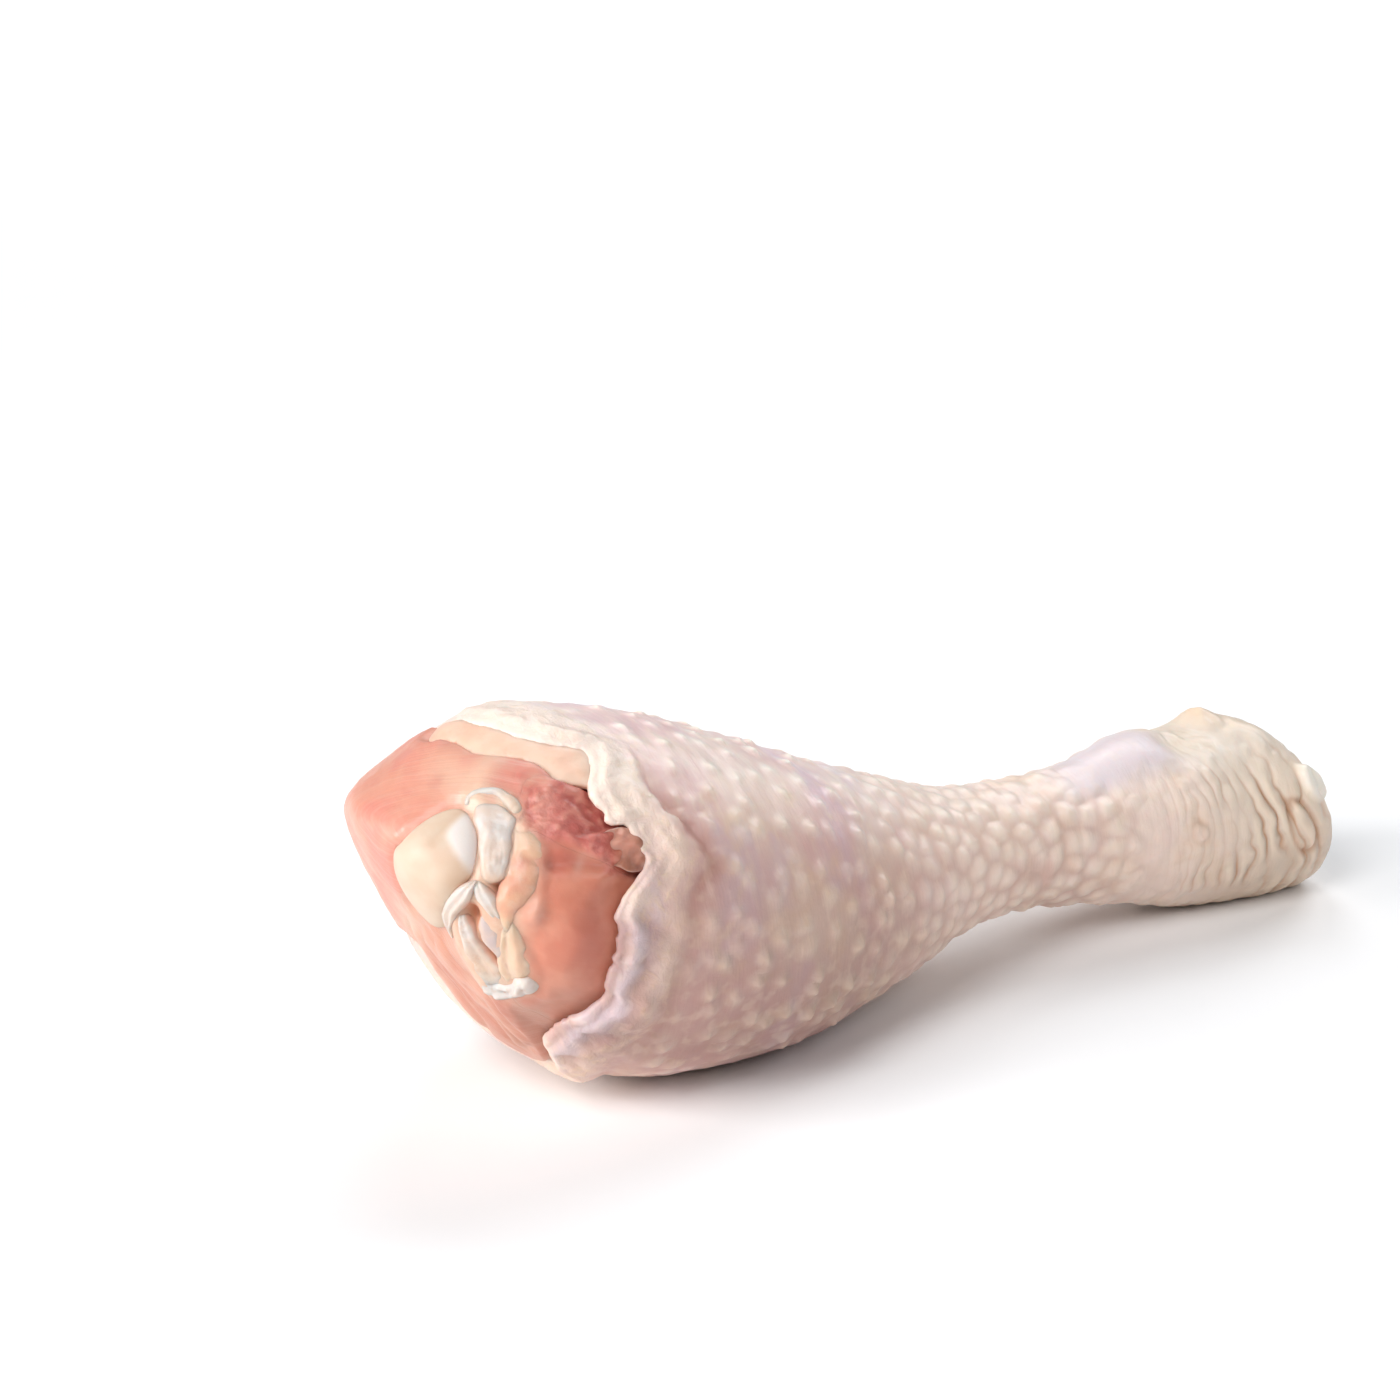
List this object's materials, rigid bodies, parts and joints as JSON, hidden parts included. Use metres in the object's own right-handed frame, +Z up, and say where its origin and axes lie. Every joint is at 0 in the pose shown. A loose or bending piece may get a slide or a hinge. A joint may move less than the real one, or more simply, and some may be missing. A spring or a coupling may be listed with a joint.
{
  "type": "raw chicken drumstick",
  "caption": "Raw skin-on poultry leg lying on its side: meat, cartilage and bone show at the torn knee end, and goose-bumped skin runs to the creased ankle.",
  "frame": {"origin": "under the middle of the bounding box, on the surface that the leg lies on", "axes": "+X from the knee end to the ankle end, +Z up, -Y the side on which the joint shows more"},
  "size_m": [0.155, 0.0524, 0.0528],
  "materials": {
    "skin": "moist, satin, goose-bumped",
    "bone_and_cartilage": "smooth, moist",
    "ligament": "moist, satin",
    "tendon": "moist, glossy",
    "gristle": "translucent, moist",
    "fat": "soft, satin",
    "pale_meat": "moist, fibrous",
    "red_meat": "moist, fibrous"
  },
  "bodies": {
    "root": {"skin": "skin", "shin_bone": "bone_and_cartilage", "meniscus": "bone_and_cartilage", "ligament_inner": "ligament", "ligament_outer": "ligament", "cartilage_ring": "ligament", "cartilage_cap": "bone_and_cartilage", "tendon": "tendon", "gristle": "gristle", "fat_pad": "fat", "shin_muscle": "pale_meat", "red_muscle": "red_meat", "calf_muscle": "red_meat", "under_muscle": "pale_meat"}
  },
  "joints": []
}
